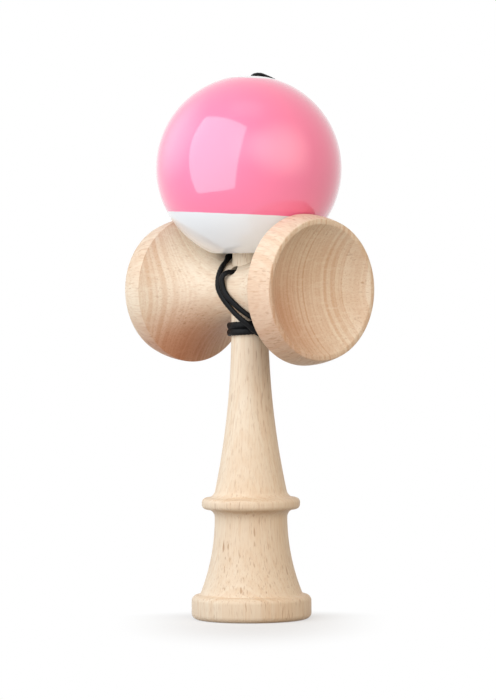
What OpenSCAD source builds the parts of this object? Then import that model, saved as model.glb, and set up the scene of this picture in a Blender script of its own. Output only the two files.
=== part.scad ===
// Kendama: a turned beech ken that carries a cross piece with two cups, a lacquered ball and its string.
// Millimetres, +Z up. The origin is the middle of the foot, on the surface that the ken stands on.
// The two side cups share one axis along X, with the big cup on +X.

/* [Ken] */
// Diameter of the flange round the base
base_d = 38.8; // [37:0.2:42]
// Height of the flange round the base
base_h = 7.9; // [6.5:0.1:9]
// Rounding of the flange's lower edge
foot_round = 2; // [1:0.1:2.2]
// Rounding of the flange's upper edge
flange_round = 2; // [0.5:0.1:2.2]
// Radius of the cove that leads from the body onto the flange
flange_cove = 1; // [0.6:0.1:1.2]
// Diameter of the base cup at its mouth
base_cup_d = 32; // [28:0.5:32.4]
// Depth of the base cup
base_cup_depth = 7; // [5:0.25:9]
// Narrowest diameter of the hollow body between flange and ring
body_d = 23.5; // [21:0.1:25]
// Radius of the hollow curve of the body
body_curve = 66; // [60:1:110]
// Diameter of the ring that a thumb rests under
ring_d = 31.8; // [29:0.2:35]
// Thickness of the ring
ring_h = 3.7; // [3.2:0.1:5]
// Height of the ring's middle above the foot
ring_z = 37.4; // [34:0.2:40]
// Rounding of the ring's two edges
ring_round = 1.5; // [0.6:0.1:1.5]
// Radius of the cove under the ring
ring_cove = 2.6; // [1:0.1:2.6]
// Radius of the wider cove that leads from the shaft onto the ring
shaft_cove = 2.8; // [1.4:0.1:2.8]
// Diameter of the neck just under the cross piece
neck_d = 12; // [11:0.1:13]
// Radius of the long hollow curve from the ring up to the neck
shaft_curve = 265; // [225:5:320]
// Loss of diameter along the tapered seat of the cross piece
seat_taper = 1; // [0.4:0.1:1.6]
// Diameter of the rounded tip of the spike
spike_tip_d = 6.4; // [5:0.1:8]

/* [Cross piece] */
// Height of the cups' axis above the foot
cross_z = 106.5; // [103:0.1:110]
// Waist diameter, midway between the cups
waist_d = 18.8; // [18:0.2:21]
// Length of the straight waist between the two flares
waist_len = 4; // [2:0.5:8]
// Length from the ken's axis to the lip of the big cup
big_reach = 35.1; // [34:0.1:37]
// Diameter of the big cup at its sharp back edge
big_edge_d = 48.4; // [46:0.2:50]
// Diameter of the big cup at its lip
big_lip_d = 45; // [43:0.2:46]
// Width of the band between the big cup's back edge and its lip
big_band = 8.7; // [7.5:0.1:9.5]
// Depth of the big cup
big_depth = 10; // [7:0.25:13]
// Length from the ken's axis to the lip of the small cup
small_reach = 37; // [36:0.1:38.5]
// Diameter of the small cup at its sharp back edge
small_edge_d = 47.4; // [45:0.2:49]
// Diameter of the small cup at its lip
small_lip_d = 43.6; // [41:0.2:45]
// Width of the band between the small cup's back edge and its lip
small_band = 9.2; // [8:0.1:10]
// Depth of the small cup
small_depth = 9.5; // [7:0.25:12]
// Width of the flat rim round each cup
rim_w = 1.6; // [1:0.1:2.5]
// Radius of the slight swell of each band
band_curve = 30; // [24:1:60]

/* [Ball] */
// Diameter of the ball
ball_d = 60; // [58:0.5:63]
// Diameter of the flat round the hole's mouth
mouth_d = 24.4; // [23:0.2:26]
// Width of the bevel round the hole's mouth
mouth_bevel = 1.6; // [0.8:0.1:2]
// Diameter of the hole at its inner end
hole_end_d = 14; // [12.6:0.2:16]
// Wood left between the bead's pocket and the top of the ball
top_wall = 6.7; // [5.5:0.1:9]
// Diameter of the bead that the string hangs the ball on
bead_d = 9.2; // [8:0.2:10]
// Diameter of the bore for the string through the top of the ball
top_bore_d = 3; // [2.6:0.1:4]
// Depth of the countersink round the string's bore
top_sink = 3; // [1.5:0.1:3.4]

/* [String] */
// Diameter of the string
cord_d = 1.6; // [1.2:0.1:1.7]
// Rise from one turn to the next round the neck
turn_pitch = 2.1; // [2.05:0.05:2.4]
// Diameter of the bores for the string in the cross piece, the ken and the bead
cord_bore_d = 3; // [2.6:0.1:3.4]
// Diameter of the stopper knots
knot_d = 4.2; // [3.6:0.1:4.4]

/* [Fits] */
// Clearance between the ball and the cup's edge that it rests over
ball_gap = 0.35; // [0.2:0.05:0.8]
// Clearance round the bead in its pocket
bead_gap = 0.3; // [0.15:0.05:0.5]
// Clearance between the string and what it lies on
lay_gap = 0.3; // [0.2:0.05:0.5]
// Clearance between the tip of the spike and the end of the ball's hole
tip_gap = 4; // [3.5:0.25:8]

/* [Hidden] */

beech = [0.90, 0.79, 0.64];
lacquer = [0.96, 0.36, 0.58];
bead_wood = [0.80, 0.66, 0.48];
black_yarn = [0.07, 0.07, 0.08];

// Facets of round shapes, and of the long shallow curves
$fn = 96;
fine = 720;
// Overlap of cuts past the faces that they open
past = 1;

// The ken
base_r = base_d / 2;
body_r = body_d / 2;
ring_r = ring_d / 2;
neck_r = neck_d / 2;
ring_top = ring_z + ring_h / 2;
ring_foot = ring_z - ring_h / 2;
// The tapered seat runs a little past the cross piece at both ends
seat_margin = 1.4;
waist_r = waist_d / 2;
seat_z = cross_z - waist_r - seat_margin;
seat_len = 2 * (waist_r + seat_margin);
seat_top_r = neck_r - seat_taper / 2;
tip_r = spike_tip_d / 2;

// The cups: the back edge's distance from the ken, and the radii
big_edge = big_reach - big_band;
small_edge = small_reach - small_band;
big_edge_r = big_edge_d / 2;
small_edge_r = small_edge_d / 2;

// Radius of the hollow arc from the straight waist out to a cup's back edge, which a small flat breaks
edge_flat = 0.3;
function flare_curve(run, rise) = (pow(run, 2) + pow(rise, 2)) / (2 * rise);
big_flare = flare_curve(big_edge - waist_len / 2, big_edge_r - edge_flat - waist_r);
small_flare = flare_curve(small_edge - waist_len / 2, small_edge_r - edge_flat - waist_r);

// Radius of the cross piece at a place along its axis
function flare_r(x) =
    let (curve = x > 0 ? big_flare : small_flare, out = max(abs(x) - waist_len / 2, 0))
    waist_r + curve - sqrt(pow(curve, 2) - pow(out, 2));

// The ball sits just over what it meets first: a cup's edge, or a flare under the rim of its own hole
ball_r = ball_d / 2;
mouth_r = mouth_d / 2;
mouth_rise = sqrt(pow(ball_r, 2) - pow(mouth_r, 2));
function over_edge_z(edge, edge_r) =
    ball_r + ball_gap > edge ? cross_z + edge_r + sqrt(pow(ball_r + ball_gap, 2) - pow(edge, 2)) : 0;
over_flare_z = cross_z + max(flare_r(mouth_r), flare_r(-mouth_r)) + ball_gap + mouth_rise;
ball_z = max(over_edge_z(big_edge, big_edge_r), over_edge_z(small_edge, small_edge_r), over_flare_z);
ball_top = ball_z + ball_r;
// Flat left between the bevel of the hole's mouth and the ball's round
mouth_lip = 0.4;
mouth_z = ball_z - mouth_rise;

// The bead sits in a round-topped pocket at the end of the hole, with a knot under it
bead_r = bead_d / 2;
bead_flat = 0.5;
bead_sunk = 1.2;
pocket_r = bead_r + bead_gap;
bead_z = ball_top - top_wall - pocket_r;
bead_foot = bead_z - bead_r + bead_flat;
hole_end_z = bead_z - bead_r - bead_sunk;
hole_depth = hole_end_z - mouth_z;
spike_z = hole_end_z - tip_gap;
knot_r = knot_d / 2;
// Each knot is a ball that is cut flat where the string leaves it
knot_flat = 1;

// The string's bore through cross piece and ken, level with the upper part of the waist
bore_up = 6.2;
bore_z = cross_z + bore_up;
cord_bore_r = cord_bore_d / 2;
// The ken's knot lies in a flat-ended pocket at the back of the bore, with its flat against the end
knot_pocket_r = knot_r + lay_gap;
knot_y = seat_top_r - knot_r - lay_gap;
knot_face_y = knot_y - knot_r + knot_flat;

// How far the middle of the string lies from the wood
lay = cord_d / 2 + lay_gap;

// Radius at a height of a hollow side that is narrowest, with radius r, at height low_z
function hollow_r(r, low_z, curve, z) = r + curve - sqrt(pow(curve, 2) - pow(low_z - z, 2));
// Radius of the ken's shaft at a height, from the ring to the neck
function shaft_r(z) = hollow_r(neck_r, seat_z, shaft_curve, z);
// Radius of the ken's body at a height, from the flange to the ring
function body_side_r(z) = hollow_r(body_r, ring_foot - ring_cove, body_curve, z);

function unit(v) = v / norm(v);

// Radius of the sphere that a cup of that mouth and depth is cut from
function cup_curve(mouth_r, depth) = (pow(mouth_r, 2) + pow(depth, 2)) / (2 * depth);

// Routes of the string
// From the knot under the bead, up through the ball, over its back and down to the cross piece
bead_rise = [[0, 0, bead_foot + lay_gap], [0, 0, bead_z], [0, 0, bead_z + 3]];
over_edge = [[0, 0, ball_top - 5.6], [0, 0, ball_top - 3.4], [0, 0.7, ball_top - 1.15],
    [0, 2.5, ball_top + 0.4], [0, 4.9, ball_top + 0.7]];
over_r = ball_r + lay;
back_angles = [14, 21, 30, 40, 50, 60, 70, 80, 90, 100, 110, 118];
over_back = [for (a = back_angles) [-a / 50, over_r * sin(a), ball_z + over_r * cos(a)]];
run_down = [[-3, 22, 121.5], [-3.8, 18.4, 115.2]];
// The two stretches of string meet here, behind the cross piece
join_from = [-4.4, 15.2, 109.6];
join_at = [-4.8, 13.2, 106];
join_to = [-5.2, 11.3, 102.6];

// From there down to the neck, and round it
run_in = [join_to, [-5, 9.7, 99.5], [-3.6, 8.2, 97.1]];
neck_turns = 2;
neck_step = 30;
neck_first = cross_z - flare_r(neck_r + lay) - lay;
function neck_point(a) =
    let (z = neck_first - turn_pitch * (a - 90) / 360, r = shaft_r(z) + lay)
    [r * sin(a), r * cos(a), z];
neck_wraps = [for (a = [0:neck_step:360 * neck_turns]) neck_point(a)];

// From the last turn out over the turns above it, as angle past the back, distance and height
lift_off = [[30, 0.3, -0.2], [60, 1.2, -0.4], [86, 2, -0.4], [108, 2.3, 0.2], [123, 2.4, 1.5], [134, 2.5, 3],
    [146, 2.3, 4.6], [161, 2.2, 6.6], [176, 2.4, 8.9]];
lift_z = neck_first - turn_pitch * (360 * neck_turns - 90) / 360;
lift_wrap = [for (p = lift_off)
    let (r = neck_r + lay + p[1])
    [r * sin(p[0]), r * cos(p[0]), lift_z + p[2]]];

// Up the front of the waist, over it beside the spike, down its back, under it beside the neck and
// up the front again, as angle from underneath and place along the axis
waist_route = [[74, -1.8], [92, -3.6], [110, -4.4], [128, -5], [146, -5.8], [163, -6.9],
    [180, -7.7], [198, -7.4], [216, -6.2], [236, -4.6], [258, -2.6], [280, -0.2], [302, 2.8], [322, 6.2],
    [341, 8.9], [360, 9.8], [378, 9.2], [395, 7.6], [411, 5], [428, 2.2], [441, 0], [452, -1.3]];
function waist_point(p) =
    let (r = flare_r(p[1]) + lay)
    [p[1], -r * sin(p[0]), cross_z - r * cos(p[0])];
waist_wraps = [for (p = waist_route) waist_point(p)];

// Into the bore and back to the knot in the ken
into_bore = [[-1.85, -10.65, bore_z - 3], [-1.5, -10.35, bore_z - 1.4], [-0.75, -9.2, bore_z - 0.35],
    [-0.15, -7.7, bore_z], [0, -6.2, bore_z], [0, -4.4, bore_z], [0, -3.2, bore_z], [0, -1, bore_z]];
bore_end = [0, knot_face_y, bore_z];

run_route = concat(bead_rise, over_edge, over_back, run_down, [join_from, join_at]);
wrap_route = concat([join_at], run_in, neck_wraps, lift_wrap, waist_wraps, into_bore, [bore_end]);

// A smooth line through the points of a route, with so many steps from each point to the next
function smooth(p0, p1, p2, p3, t) =
    let (bend = 2 * p0 - 5 * p1 + 4 * p2 - p3, twist = 3 * p1 - p0 - 3 * p2 + p3)
    p1 + ((p2 - p0) * t + bend * t * t + twist * t * t * t) / 2;
function line_through(p, steps) =
    let (last = len(p) - 1)
    concat([for (i = [0:last - 1], s = [0:steps - 1])
        smooth(p[max(i - 1, 0)], p[i], p[i + 1], p[min(i + 2, last)], s / steps)], [p[last]]);

// A round tube along a line, as one closed solid
function turned(n, t) = unit(n - (n * t) * t);
function directions(p) =
    let (last = len(p) - 1)
    [for (i = [0:last]) unit(p[min(i + 1, last)] - p[max(i - 1, 0)])];
function normals(t, first) =
    [for (i = 0, n = turned(first, t[0]); i < len(t); i = i + 1, n = i < len(t) ? turned(n, t[i]) : n) n];
module tube(line, d, sides, first) {
    t = directions(line);
    n = normals(t, first);
    last = len(line) - 1;
    points = [for (i = [0:last], s = [0:sides - 1])
        let (a = 360 * s / sides)
        line[i] + d / 2 * (cos(a) * n[i] + sin(a) * cross(t[i], n[i]))];
    walls = [for (i = [0:last - 1], s = [0:sides - 1])
        let (a = i * sides + s, b = i * sides + (s + 1) % sides)
        each [[a, b + sides, b], [a, a + sides, b + sides]]];
    ends = [for (s = [1:sides - 2])
        let (top = last * sides)
        each [[0, s, s + 1], [top, top + s + 1, top + s]]];
    polyhedron(points, concat(walls, ends));
}

// The least gap of a winding to itself, measured on points along its middle
function winding_gap(p, d, apart) =
    min([for (i = [0:len(p) - 1], j = [i + apart:1:len(p) - 1]) norm(p[i] - p[j])]) - d;

wrap_steps = 2;
run_steps = 2;
gap_steps = 6;
// Points closer along the string than this many are the same bend and not another turn
gap_apart = 24;
wrap_line = line_through(wrap_route, wrap_steps);
run_line = line_through(run_route, run_steps);
echo(least_gap_of_wraps = winding_gap(line_through(wrap_route, gap_steps), cord_d, gap_apart));

// A solid of revolution that is hollow between two heights, narrowest at one of them
module hollow_side(r, z, curve, low, high) {
    widest = r + curve - sqrt(pow(curve, 2) - pow(max(abs(low - z), abs(high - z)), 2));
    difference() {
        translate([0, low]) square([widest + past, high - low]);
        translate([r + curve, z]) circle(curve, $fn = fine);
    }
}

// A half section with its outer corners rounded
module rounded_edge(r, low, high, low_round, high_round) {
    translate([0, low]) square([r - max(low_round, high_round), high - low]);
    translate([0, low + low_round]) square([r, high - low - low_round - high_round]);
    translate([0, low]) square([r - low_round, low_round]);
    translate([r - low_round, low + low_round]) circle(low_round);
    translate([0, high - high_round]) square([r - high_round, high_round]);
    translate([r - high_round, high - high_round]) circle(high_round);
}

// A cove that leads from a shaft onto a face; up is 1 over the face and -1 under it
module cove(r, z, size, up) {
    difference() {
        translate([r - past, up > 0 ? z : z - size]) square([size + past, size]);
        translate([r + size, z + up * size]) circle(size);
    }
}

module ken_section() {
    rounded_edge(base_r, 0, base_h, foot_round, flange_round);
    hollow_side(body_r, ring_foot - ring_cove, body_curve, base_h - flange_round, ring_foot);
    cove(body_side_r(base_h + flange_cove), base_h, flange_cove, 1);
    rounded_edge(ring_r, ring_foot, ring_top, ring_round, ring_round);
    cove(body_r, ring_foot, ring_cove, -1);
    cove(shaft_r(ring_top + shaft_cove), ring_top, shaft_cove, 1);
    hollow_side(neck_r, seat_z, shaft_curve, ring_z, seat_z);
    spike_section();
}

// The tapered seat, the spike and its round tip
module spike_section() {
    seat_end = seat_z + seat_len;
    round_z = spike_z - tip_r;
    polygon([[0, seat_z], [neck_r, seat_z], [seat_top_r, seat_end], [tip_r, round_z], [0, round_z]]);
    intersection() {
        translate([0, round_z]) circle(tip_r);
        translate([0, round_z]) square(tip_r);
    }
}

module ken() {
    cup_r = cup_curve(base_cup_d / 2, base_cup_depth);
    color(beech)
    difference() {
        rotate_extrude() ken_section();
        translate([0, 0, base_cup_depth - cup_r]) sphere(cup_r, $fn = fine / 2);
        translate([0, neck_r, bore_z]) rotate([90, 0, 0]) cylinder(r = cord_bore_r, h = neck_d);
        translate([0, knot_face_y, bore_z]) rotate([-90, 0, 0]) cylinder(r = knot_pocket_r, h = neck_r);
    }
}

// Half of the cross piece's section, from the ken's axis to one lip, with the radius along X
module cup_section(reach, edge, edge_r, lip_r, flare) {
    chord = [lip_r - edge_r, reach - edge];
    middle = [edge_r, edge] + chord / 2;
    inward = unit([-chord[1], chord[0]]);
    centre = middle + inward * sqrt(pow(band_curve, 2) - pow(norm(chord) / 2, 2));
    difference() {
        square([edge_r, edge]);
        translate([waist_r + flare, waist_len / 2]) circle(flare, $fn = fine);
        translate([waist_r, -past]) square([edge_r, waist_len / 2 + past]);
    }
    intersection() {
        translate([0, edge]) square([edge_r + past, reach - edge]);
        translate(centre) circle(band_curve, $fn = fine);
    }
}

// A spherical cup cut into the end of the cross piece
module cup(reach, mouth_r, depth) {
    curve = cup_curve(mouth_r, depth);
    translate([0, 0, reach - depth + curve]) sphere(curve, $fn = fine / 2);
}

module cross_piece() {
    big_lip_r = big_lip_d / 2;
    small_lip_r = small_lip_d / 2;
    seat_low = seat_z - past;
    seat_rise = seat_len + 2 * past;
    widening = past * seat_taper / 2 / seat_len;
    color(beech)
    difference() {
        translate([0, 0, cross_z]) rotate([0, 90, 0])
        difference() {
            rotate_extrude() {
                cup_section(big_reach, big_edge, big_edge_r, big_lip_r, big_flare);
                mirror([0, 1]) cup_section(small_reach, small_edge, small_edge_r, small_lip_r, small_flare);
            }
            cup(big_reach, big_lip_r - rim_w, big_depth);
            mirror([0, 0, 1]) cup(small_reach, small_lip_r - rim_w, small_depth);
        }
        translate([0, 0, seat_low])
            cylinder(r1 = neck_r + widening, r2 = seat_top_r - widening, h = seat_rise);
        translate([0, 0, bore_z]) rotate([90, 0, 0]) cylinder(r = cord_bore_r, h = waist_d);
    }
}

module ball() {
    hole_r = mouth_r - mouth_lip - mouth_bevel;
    hole_end_r = hole_end_d / 2;
    bevel_r = hole_r - (hole_r - hole_end_r) * mouth_bevel / hole_depth;
    top_bore_r = top_bore_d / 2;
    color(lacquer)
    difference() {
        translate([0, 0, ball_z]) sphere(ball_r, $fn = fine / 2);
        translate([0, 0, mouth_z - ball_r]) cylinder(r = ball_r, h = ball_r);
        translate([0, 0, mouth_z - past])
            cylinder(r1 = bevel_r + mouth_bevel + past, r2 = bevel_r, h = mouth_bevel + past);
        translate([0, 0, mouth_z]) cylinder(r1 = hole_r, r2 = hole_end_r, h = hole_depth);
        translate([0, 0, hole_end_z - past]) cylinder(r = pocket_r, h = bead_z - hole_end_z + past);
        translate([0, 0, bead_z]) sphere(pocket_r);
        translate([0, 0, bead_z]) cylinder(r = top_bore_r, h = ball_r);
        translate([0, 0, ball_top - top_sink])
            cylinder(r1 = top_bore_r, r2 = top_bore_r + top_sink, h = top_sink);
    }
}

module bead() {
    color(bead_wood)
    translate([0, 0, bead_z])
    difference() {
        intersection() {
            sphere(bead_r);
            translate([0, 0, bead_flat - bead_r]) cylinder(r = bead_r, h = 2 * (bead_r - bead_flat));
        }
        translate([0, 0, -bead_r]) cylinder(r = cord_bore_r, h = bead_d);
    }
}

// A stopper knot that faces +Z with the flat that the string leaves
module knot() {
    color(black_yarn)
    difference() {
        sphere(knot_r);
        translate([-knot_r, -knot_r, knot_r - knot_flat]) cube(knot_d);
    }
}

module bead_knot() {
    translate([0, 0, bead_foot - knot_r + knot_flat]) knot();
}

module ken_knot() {
    translate([0, knot_y, bore_z]) rotate([90, 0, 0]) knot();
}

module string_run() {
    color(black_yarn) tube(run_line, cord_d, 8, [1, 0, 0]);
}

module string_wraps() {
    color(black_yarn) tube(wrap_line, cord_d, 6, [1, 0, 0]);
}

ken();
cross_piece();
ball();
bead();
bead_knot();
ken_knot();
string_run();
string_wraps();
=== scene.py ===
import logging
import math
from dataclasses import dataclass, field
from enum import Enum
from typing import Any, Dict, List, Optional, Sequence, Tuple, Union

import bpy
import numpy as np
from mathutils import Matrix, Vector


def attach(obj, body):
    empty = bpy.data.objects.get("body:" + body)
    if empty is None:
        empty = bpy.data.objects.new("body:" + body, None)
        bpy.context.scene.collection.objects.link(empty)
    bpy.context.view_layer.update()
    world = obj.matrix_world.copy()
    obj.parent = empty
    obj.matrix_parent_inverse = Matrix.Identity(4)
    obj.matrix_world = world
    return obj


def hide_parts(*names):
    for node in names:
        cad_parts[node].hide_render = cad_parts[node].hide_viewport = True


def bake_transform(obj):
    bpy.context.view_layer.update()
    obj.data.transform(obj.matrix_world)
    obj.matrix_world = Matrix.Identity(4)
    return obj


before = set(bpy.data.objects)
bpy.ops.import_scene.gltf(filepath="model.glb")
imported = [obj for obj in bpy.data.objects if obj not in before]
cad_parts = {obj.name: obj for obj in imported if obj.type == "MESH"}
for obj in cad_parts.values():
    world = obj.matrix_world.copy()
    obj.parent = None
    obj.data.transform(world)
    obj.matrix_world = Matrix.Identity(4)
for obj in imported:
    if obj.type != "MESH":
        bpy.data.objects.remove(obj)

# Looks of a kendama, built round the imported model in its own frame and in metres.
# +Z runs up the ken, +X along the cross piece to the big cup, and the string's hole faces -Y.

LOG = logging.getLogger("kendama")
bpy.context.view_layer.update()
MM = 0.001

Point = Tuple[float, float, float]
Pair = Tuple[float, float]
Colour = Tuple[float, float, float]

WHITE: Colour = (1.0, 1.0, 1.0)

# Sizes that several pieces share, in millimetres.
BALL_R = 30
BALL_Z = 145.672
BEAD_Z = 164.072
CROSS_Z = 106.5
WAIST_R = 9.4
WAIST_HALF = 2
NECK_R = 6
SHAFT_CURVE = 265
SEAT_LOW = 95.7
SEAT_HIGH = 117.3
SEAT_TOP_R = 5.5
BORE_R = 1.5
BORE_Z = 112.7

# Degrees from the toy's front round to the camera.
CAMERA_SIDE = 49


def linear(red: int, green: int, blue: int) -> Colour:
    """Turn a colour as a screen shows it into the linear one that shaders take.

    Args:
        red: Red, from 0 to 255.
        green: Green, from 0 to 255.
        blue: Blue, from 0 to 255.

    Returns:
        The linear colour, each part from 0 to 1.
    """
    def one(value: int) -> float:
        """Turn one part of the colour."""
        share = value / 255
        return share / 12.92 if share <= 0.04045 else ((share + 0.055) / 1.055) ** 2.4
    return one(red), one(green), one(blue)


class Wire:
    """An output socket of a material, with Python's operators as Math nodes."""

    def __init__(self, shade: "Shade", socket: bpy.types.NodeSocket) -> None:
        """Wrap a socket of the shade's node tree."""
        self.shade = shade
        self.socket = socket

    def math(self, operation: str, *values: Any) -> "Wire":
        """Add a Math node of that operation on these values."""
        return self.shade.node("ShaderNodeMath", {"operation": operation}, dict(enumerate(values)))

    def __add__(self, other: Any) -> "Wire":
        """Add a value."""
        return self.math("ADD", self, other)

    __radd__ = __add__

    def __sub__(self, other: Any) -> "Wire":
        """Take a value away."""
        return self.math("SUBTRACT", self, other)

    def __rsub__(self, other: Any) -> "Wire":
        """Take this away from a value."""
        return self.math("SUBTRACT", other, self)

    def __mul__(self, other: Any) -> "Wire":
        """Multiply by a value."""
        return self.math("MULTIPLY", self, other)

    __rmul__ = __mul__

    def __abs__(self) -> "Wire":
        """Drop the sign."""
        return self.math("ABSOLUTE", self)

    def root(self) -> "Wire":
        """Take the square root."""
        return self.math("SQRT", self)

    def step(self, low: float, high: float) -> "Wire":
        """Rise smoothly from 0 at low to 1 at high."""
        inputs = {"Value": self, "From Min": low, "From Max": high}
        return self.shade.node("ShaderNodeMapRange", {"interpolation_type": "SMOOTHSTEP"}, inputs)


class Shade:
    """Node tree of a material, a lamp or the world."""

    def __init__(self, owner: Union[bpy.types.Material, bpy.types.Light, bpy.types.World]) -> None:
        """Start with the owner's node tree emptied.

        Args:
            owner: What the tree belongs to.
        """
        owner.use_nodes = True
        self.owner = owner
        self.tree = owner.node_tree
        self.tree.nodes.clear()

    @classmethod
    def material(cls, name: str) -> "Shade":
        """Start a new material of that name."""
        return cls(bpy.data.materials.new(name))

    def node(self, kind: str, settings: Optional[Dict[str, Any]] = None,
             inputs: Optional[Dict[Any, Any]] = None, output: Union[int, str] = 0) -> Wire:
        """Add a node.

        Args:
            kind: Blender's name of the node's type.
            settings: The node's own settings, which are set first.
            inputs: Socket name or number to a value or a wire.
            output: Name or number of the socket that is handed back.

        Returns:
            The wire of that output.
        """
        made = self.tree.nodes.new(kind)
        for key, value in (settings or {}).items():
            setattr(made, key, value)
        for key, value in (inputs or {}).items():
            if isinstance(value, Wire):
                self.tree.links.new(value.socket, made.inputs[key])
            elif isinstance(value, tuple) and len(value) == 3 and made.inputs[key].type == "RGBA":
                made.inputs[key].default_value = (*value, 1)
            else:
                made.inputs[key].default_value = value
        return Wire(self, made.outputs[output]) if made.outputs else Wire(self, None)

    def coordinates(self, output: str = "Object") -> Wire:
        """Give the piece's own coordinates, or its normal or UV map."""
        return self.node("ShaderNodeTexCoord", output=output)

    def parts(self, vector: Wire) -> Tuple[Wire, Wire, Wire]:
        """Split a vector.

        Args:
            vector: What is split.

        Returns:
            Its three numbers.
        """
        first = self.node("ShaderNodeSeparateXYZ", inputs={0: vector})
        outputs = first.socket.node.outputs
        return first, Wire(self, outputs[1]), Wire(self, outputs[2])

    def vector(self, x: Any, y: Any, z: Any) -> Wire:
        """Join three numbers into a vector."""
        return self.node("ShaderNodeCombineXYZ", inputs={0: x, 1: y, 2: z})

    def noise(self, vector: Wire, scale: float = 1, detail: float = 2, rough: float = 0.5) -> Wire:
        """Give noise from 0 to 1."""
        inputs = {"Vector": vector, "Scale": scale, "Detail": detail, "Roughness": rough}
        return self.node("ShaderNodeTexNoise", {"noise_dimensions": "3D"}, inputs)

    def mix(self, factor: Any, first: Any, second: Any, blend: str = "MIX") -> Wire:
        """Mix two colours by a factor."""
        settings = {"data_type": "RGBA", "blend_type": blend, "clamp_factor": True}
        return self.node("ShaderNodeMix", settings, {0: factor, 6: first, 7: second}, output=2)

    def bump(self, height: Wire, distance: float, strength: float) -> Wire:
        """Turn a height into a normal."""
        inputs = {"Height": height, "Distance": distance, "Strength": strength}
        return self.node("ShaderNodeBump", inputs=inputs)

    def finish(self, **sockets: Any) -> bpy.types.Material:
        """Close the tree with a Principled shader.

        Args:
            sockets: Names of the shader's sockets, with _ for a space, and their values or wires.

        Returns:
            The finished material.
        """
        inputs = {key.replace("_", " "): value for key, value in sockets.items()}
        shader = self.node("ShaderNodeBsdfPrincipled", inputs=inputs)
        self.node("ShaderNodeOutputMaterial", inputs={"Surface": shader})
        return self.owner

    def shown(self) -> Wire:
        """Tell what is shown from what only lights.

        Returns:
            1 for what the camera, a reflection or glass shows, and 0 for the rest.
        """
        path = self.node("ShaderNodeLightPath", output="Is Camera Ray")
        rays = path.socket.node.outputs
        seen = path.math("MAXIMUM", path, Wire(self, rays["Is Glossy Ray"]))
        return seen.math("MAXIMUM", seen, Wire(self, rays["Is Transmission Ray"]))


class Fibre(Enum):
    """Way that the fibres run: which axes lie across, deep in and along the wood."""

    UP = (0, 1, 2)
    ACROSS = (1, 2, 0)


@dataclass(frozen=True)
class PaintedShade:
    """A patch of painted warm shade round one place in a piece where less light falls."""

    at: Point
    reach: float
    share: float
    colour: Colour = linear(222, 140, 92)


@dataclass(frozen=True)
class Rings:
    """Noise by the distance from the pith, cut off at two levels."""

    pitch: float
    seed: float
    drift: float
    low: float
    high: float

    def draw(self, shade: Shade, radius: Wire, along: Wire) -> Wire:
        """Give the rings, from 0 to 1, at a distance from the pith and along the fibres."""
        place = shade.vector(radius * self.pitch, self.seed, along * self.drift)
        return shade.noise(place, detail=1).step(self.low, self.high)


@dataclass(frozen=True)
class Grain:
    """Noise drawn out along the fibres, cut off at two levels, and how it shows in the wood."""

    scale: float
    stretch: float
    low: float
    high: float
    detail: float = 1
    rough: float = 0.5
    share: float = 1
    end_loss: float = 0
    lift: float = 0

    def draw(self, shade: Shade, side: Wire, deep: Wire, along: Wire) -> Wire:
        """Give the grain, from 0 to 1, at a place across, deep in and along the wood."""
        place = shade.vector(side, deep, along * self.stretch)
        return shade.noise(place, self.scale, self.detail, self.rough).step(self.low, self.high)


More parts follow.
